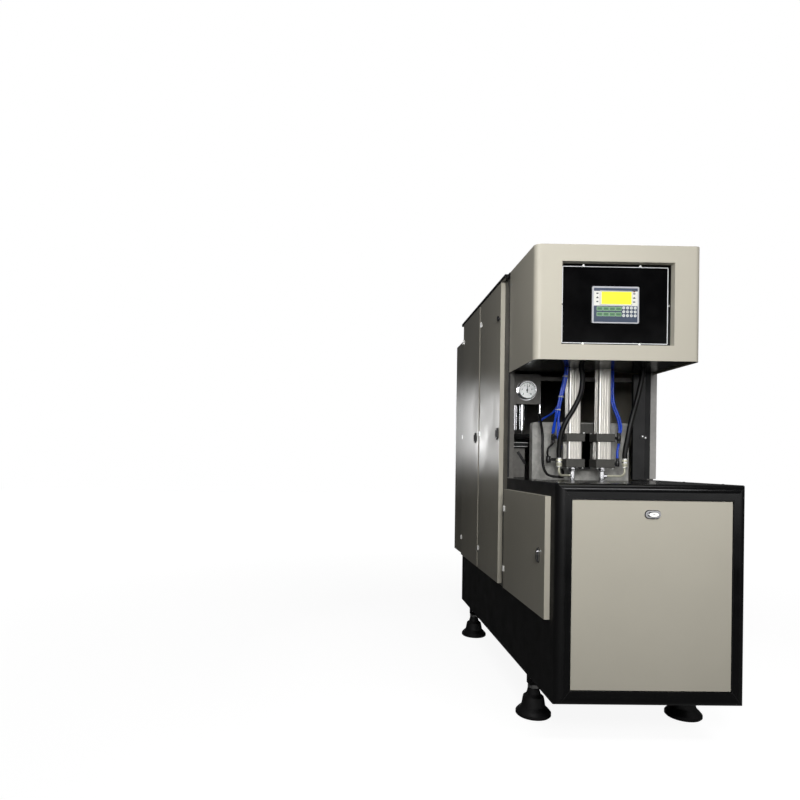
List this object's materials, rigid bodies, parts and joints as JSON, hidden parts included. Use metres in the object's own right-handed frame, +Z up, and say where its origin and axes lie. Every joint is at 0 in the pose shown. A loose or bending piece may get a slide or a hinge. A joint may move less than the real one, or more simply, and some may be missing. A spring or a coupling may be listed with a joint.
{
  "type": "blow moulding machine",
  "caption": "Floor-standing stretch blow moulding machine: deep cabinet, overhanging control hood, air cylinders with nozzles over a mould, side doors and a front-to-back clamp.",
  "frame": {"origin": "floor level, middle of the machine's bounding box in plan", "axes": "+Z up, +Y from the front panel to the back, +X to the operator's right"},
  "size_m": [0.724, 1.9764, 1.827],
  "materials": {
    "frame_black": "wrinkle paint, satin",
    "post_grey": "hammertone paint",
    "panel_beige": "smooth powder coat, satin",
    "chrome": "polished chrome",
    "latch_black": "black enamel on zinc",
    "cylinder_alu": "extruded, clear anodised",
    "flange_grey": "dark anodised",
    "machined_steel": "ground plate, lightly oiled",
    "zinc_steel": "zinc plated",
    "foot_rubber": "moulded rubber, matte",
    "plate_black": "black glossy panel",
    "hmi_silver": "silver grey moulded plastic",
    "lcd_yellow": "backlit yellow display",
    "hose_black": "black rubber hose",
    "tube_blue": "blue polyurethane tube",
    "mould_alu": "machined mould aluminium",
    "brass": "turned brass"
  },
  "bodies": {
    "frame": {"base_frame": "frame_black", "left_base_side": "frame_black", "right_base_side": "frame_black", "base_rear_panel": "frame_black", "table_top": "frame_black", "front_bezel": "frame_black", "foot_pads": "foot_rubber", "foot_studs": "zinc_steel", "body_frame": "post_grey", "body_roof": "frame_black", "rear_panel": "post_grey", "rear_cover": "panel_beige", "hinge_pins": "zinc_steel", "hood_shell": "panel_beige", "hood_floor": "frame_black", "control_plate": "plate_black", "panel_screws": "chrome", "hmi_housing": "hmi_silver", "hmi_display": "lcd_yellow", "gauge_plate": "post_grey", "gauge_body": "chrome", "front_guard": "frame_black", "air_filters": "chrome", "stretch_tubes": "cylinder_alu", "cylinder_flanges": "flange_grey", "seal_bodies": "cylinder_alu", "air_tubes": "tube_blue", "left_air_hose": "hose_black", "right_air_hose": "hose_black", "front_platen": "post_grey", "rear_platen": "post_grey", "tie_bars": "chrome", "guide_plate": "frame_black", "front_mould": "mould_alu", "clamp_cylinder": "post_grey", "air_inlet": "brass"},
    "clamp_carriage": {"moving_platen": "machined_steel", "guide_rods": "chrome", "rear_mould": "mould_alu", "clamp_rod": "chrome"},
    "front_panel": {"front_panel": "panel_beige"},
    "front_latch": {"front_latch": "chrome"},
    "left_low_door": {"left_low_door": "panel_beige"},
    "right_low_door": {"right_low_door": "panel_beige"},
    "left_door_a": {"left_door_a": "panel_beige"},
    "left_door_b": {"left_door_b": "panel_beige"},
    "right_door_a": {"right_door_a": "panel_beige"},
    "right_door_b": {"right_door_b": "panel_beige"},
    "left_low_latch": {"left_low_latch": "chrome"},
    "right_low_latch": {"right_low_latch": "chrome"},
    "left_latch_a": {"left_latch_a": "latch_black"},
    "left_latch_b": {"left_latch_b": "latch_black"},
    "right_latch_a": {"right_latch_a": "latch_black"},
    "right_latch_b": {"right_latch_b": "latch_black"},
    "gauge_needle": {"gauge_needle": "latch_black"},
    "guard_latch": {"guard_latch": "latch_black"},
    "left_nozzle": {"left_nozzle": "chrome"},
    "right_nozzle": {"right_nozzle": "chrome"},
    "left_stretch_rod": {"left_stretch_rod": "chrome"},
    "right_stretch_rod": {"right_stretch_rod": "chrome"}
  },
  "joints": [
    {"name": "clamp_slide", "type": "slide", "parent": "frame", "child": "clamp_carriage", "axis": [0, 1, 0], "range_m": [0, 0.08]},
    {"name": "front_panel_tilt", "type": "hinge", "parent": "frame", "child": "front_panel", "pos_m": [0, -0.97285, 0.222], "axis": [1, 0, 0], "range_deg": [0, 90]},
    {"name": "front_latch_turn", "type": "hinge", "parent": "front_panel", "child": "front_latch", "pos_m": [0, -0.97885, 0.813], "axis": [0, -1, 0], "range_deg": [0, 90]},
    {"name": "left_low_door_hinge", "type": "hinge", "parent": "frame", "child": "left_low_door", "pos_m": [-0.337, -0.35685, 0.65], "axis": [0, 0, -1], "range_deg": [0, 110]},
    {"name": "left_door_a_hinge", "type": "hinge", "parent": "frame", "child": "left_door_a", "pos_m": [-0.337, 0.15115, 1.1], "axis": [0, 0, -1], "range_deg": [0, 110]},
    {"name": "left_door_b_hinge", "type": "hinge", "parent": "frame", "child": "left_door_b", "pos_m": [-0.337, 0.61115, 1.1], "axis": [0, 0, -1], "range_deg": [0, 110]},
    {"name": "left_low_latch_turn", "type": "hinge", "parent": "left_low_door", "child": "left_low_latch", "pos_m": [-0.345, -0.84785, 0.652], "axis": [-1, 0, 0], "range_deg": [0, 90]},
    {"name": "left_latch_a_turn", "type": "hinge", "parent": "left_door_a", "child": "left_latch_a", "pos_m": [-0.345, -0.22885, 1.115], "axis": [-1, 0, 0], "range_deg": [0, 90]},
    {"name": "left_latch_b_turn", "type": "hinge", "parent": "left_door_b", "child": "left_latch_b", "pos_m": [-0.345, 0.23815, 1.115], "axis": [-1, 0, 0], "range_deg": [0, 90]},
    {"name": "right_low_door_hinge", "type": "hinge", "parent": "frame", "child": "right_low_door", "pos_m": [0.337, -0.35685, 0.65], "axis": [0, 0, 1], "range_deg": [0, 110]},
    {"name": "right_door_a_hinge", "type": "hinge", "parent": "frame", "child": "right_door_a", "pos_m": [0.337, 0.15115, 1.1], "axis": [0, 0, 1], "range_deg": [0, 110]},
    {"name": "right_door_b_hinge", "type": "hinge", "parent": "frame", "child": "right_door_b", "pos_m": [0.337, 0.61115, 1.1], "axis": [0, 0, 1], "range_deg": [0, 110]},
    {"name": "right_low_latch_turn", "type": "hinge", "parent": "right_low_door", "child": "right_low_latch", "pos_m": [0.345, -0.84785, 0.652], "axis": [1, 0, 0], "range_deg": [0, 90]},
    {"name": "right_latch_a_turn", "type": "hinge", "parent": "right_door_a", "child": "right_latch_a", "pos_m": [0.345, -0.22885, 1.115], "axis": [1, 0, 0], "range_deg": [0, 90]},
    {"name": "right_latch_b_turn", "type": "hinge", "parent": "right_door_b", "child": "right_latch_b", "pos_m": [0.345, 0.23815, 1.115], "axis": [1, 0, 0], "range_deg": [0, 90]},
    {"name": "gauge_needle_turn", "type": "hinge", "parent": "frame", "child": "gauge_needle", "pos_m": [-0.2335, -0.31185, 1.309], "axis": [0, -1, 0], "range_deg": [-135, 135]},
    {"name": "guard_latch_turn", "type": "hinge", "parent": "frame", "child": "guard_latch", "pos_m": [0.279, -0.33685, 1.105], "axis": [0, -1, 0], "range_deg": [0, 90]},
    {"name": "left_nozzle_slide", "type": "slide", "parent": "frame", "child": "left_nozzle", "axis": [0, 0, -1], "range_m": [0, 0.05], "deforming": ["left_air_hose"]},
    {"name": "right_nozzle_slide", "type": "slide", "parent": "frame", "child": "right_nozzle", "axis": [0, 0, -1], "range_m": [0, 0.05], "deforming": ["right_air_hose"]},
    {"name": "left_stretch_slide", "type": "slide", "parent": "frame", "child": "left_stretch_rod", "axis": [0, 0, -1], "range_m": [0, 0.29]},
    {"name": "right_stretch_slide", "type": "slide", "parent": "frame", "child": "right_stretch_rod", "axis": [0, 0, -1], "range_m": [0, 0.29]}
  ],
  "couplings": [
    {"joint": "right_nozzle_slide", "follows": "left_nozzle_slide", "ratio": 1},
    {"joint": "right_stretch_slide", "follows": "left_stretch_slide", "ratio": 1}
  ]
}
